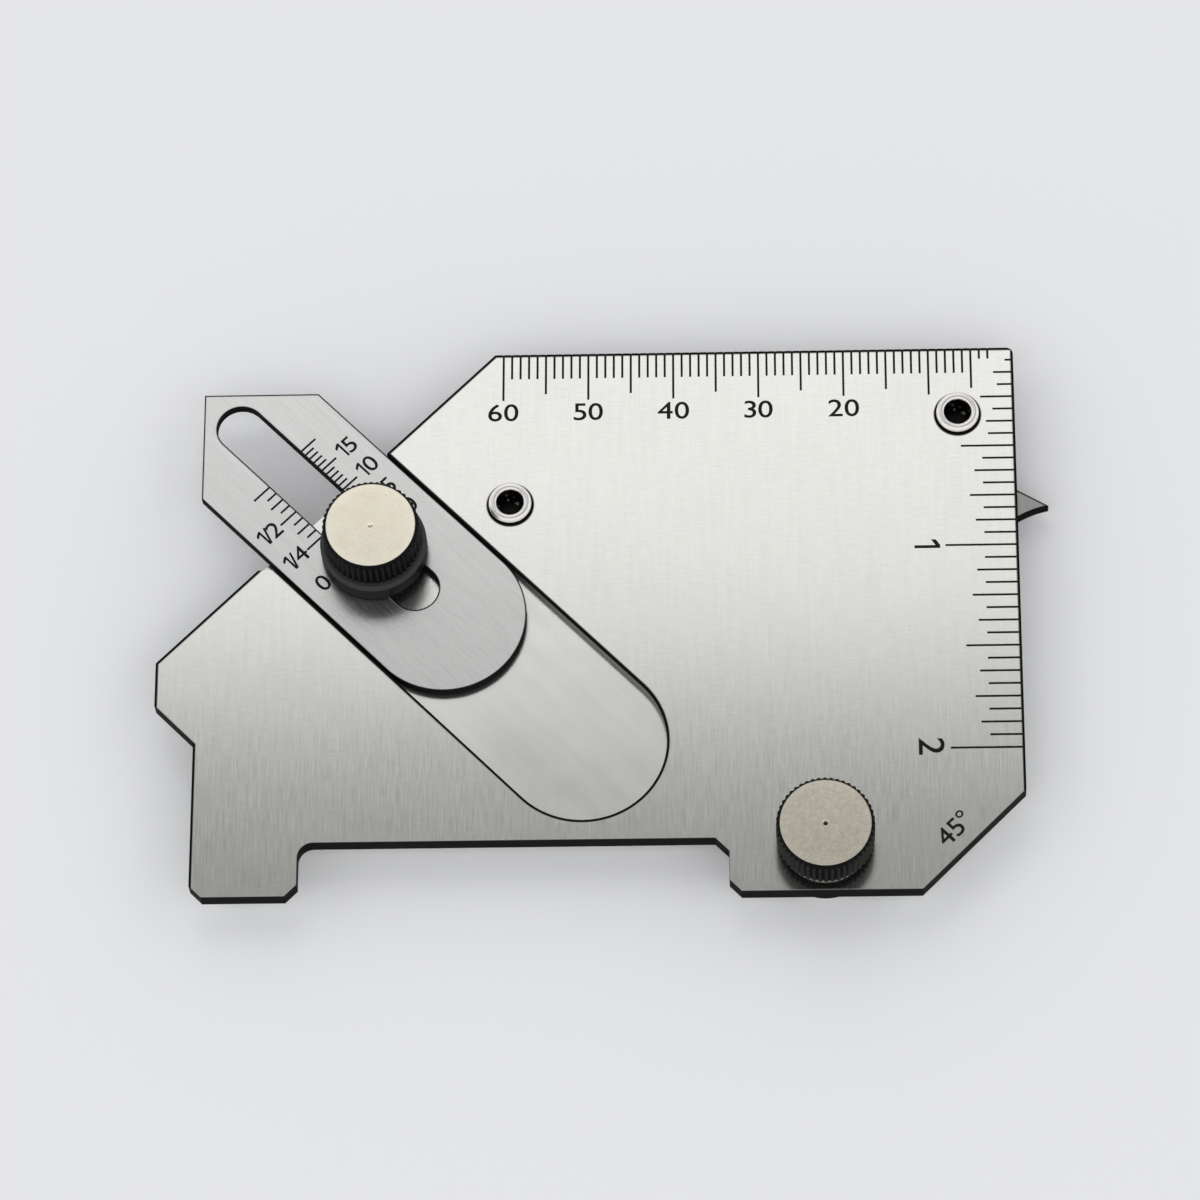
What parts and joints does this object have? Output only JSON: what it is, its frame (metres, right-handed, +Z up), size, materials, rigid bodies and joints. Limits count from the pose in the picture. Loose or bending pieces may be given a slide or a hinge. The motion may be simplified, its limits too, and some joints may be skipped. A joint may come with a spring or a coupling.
{
  "type": "weld gauge",
  "caption": "Bridge shaped weld gauge plate with ruled edges, a slotted throat slide clamped in a 45 degree channel and a beaked cam that swings on the back.",
  "frame": {"origin": "bottom centre of the bounding box, under the middle of the gauge as it lies on its back", "axes": "+X along the soles of the feet towards the beak, +Y from the soles to the top edge, +Z up out of the front face"},
  "size_m": [0.1038, 0.068, 0.0124],
  "materials": {
    "plate_steel": "fine grain from the feet to the top edge",
    "slide_steel": "fine grain, satin",
    "cam_steel": "fine grain, satin",
    "stud_steel": "turned",
    "washer_steel": "satin",
    "collar_steel": "blackened, turned",
    "nut_steel": "blackened knurl with a pale faced top",
    "rivet_steel": "bright rolled rim"
  },
  "bodies": {
    "plate": {"body_plate": "plate_steel", "slide_stud": "stud_steel", "slide_spring_washer": "washer_steel", "slide_collar": "collar_steel", "cam_pivot_stud": "stud_steel", "cam_flat_washer": "washer_steel", "cam_spring_washer": "washer_steel", "guide_rivet_left": "rivet_steel", "guide_rivet_right": "rivet_steel"},
    "slide": {"throat_slide": "slide_steel"},
    "cam": {"cam_plate": "cam_steel"},
    "slide_nut": {"slide_thumb_nut": "nut_steel"},
    "cam_nut": {"cam_thumb_nut": "nut_steel"}
  },
  "joints": [
    {"name": "slide_travel", "type": "slide", "parent": "plate", "child": "slide", "axis": [0.7071, -0.7071, 0], "range_m": [-0.0067, 0.02263]},
    {"name": "cam_swing", "type": "hinge", "parent": "plate", "child": "cam", "pos_m": [0.0252, -0.028, 0.002], "axis": [0, 0, 1], "range_deg": [-70, 6]},
    {"name": "slide_nut_turn", "type": "hinge", "parent": "plate", "child": "slide_nut", "pos_m": [-0.02669, 0.00884, 0.01], "axis": [0, 0, 1], "range_deg": [0, 360]},
    {"name": "cam_nut_turn", "type": "hinge", "parent": "plate", "child": "cam_nut", "pos_m": [0.0252, -0.028, 0.008], "axis": [0, 0, 1], "range_deg": [0, 360]}
  ]
}
